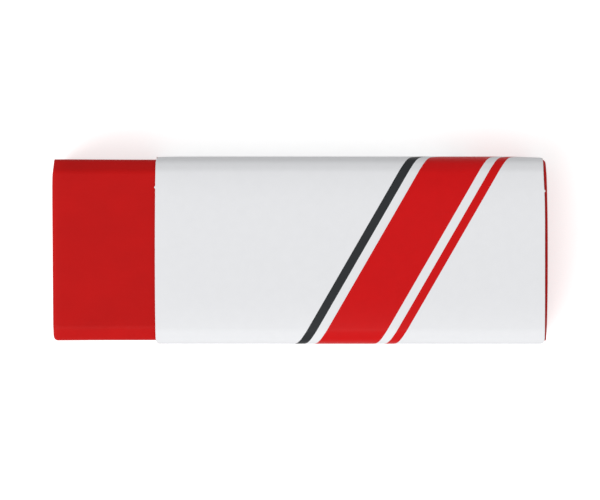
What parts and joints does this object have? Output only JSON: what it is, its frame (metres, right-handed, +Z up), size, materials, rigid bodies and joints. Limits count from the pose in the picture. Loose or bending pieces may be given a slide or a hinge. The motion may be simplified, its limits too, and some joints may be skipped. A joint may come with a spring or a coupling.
{
  "type": "block eraser in a card sleeve",
  "caption": "Rubber block eraser with rounded long edges, held in a folded and glued card sleeve that slides along it.",
  "frame": {"origin": "on the surface that the sleeve's back rests on, under the middle of the block's length and of the sleeve's width", "axes": "+X along the block from its bare working end to the end that the sleeve covers, +Y across its wide faces towards the side without the glued lap, +Z up out of the wide front"},
  "size_m": [0.065, 0.0244, 0.0126],
  "materials": {
    "red_rubber": "satin",
    "printed_card": "satin"
  },
  "bodies": {
    "eraser": {"eraser_block": "red_rubber"},
    "sleeve": {"sleeve": "printed_card"}
  },
  "joints": [
    {"name": "sleeve_slide", "type": "slide", "parent": "eraser", "child": "sleeve", "axis": [1, 0, 0], "range_m": [-0.065, 0.052]}
  ]
}
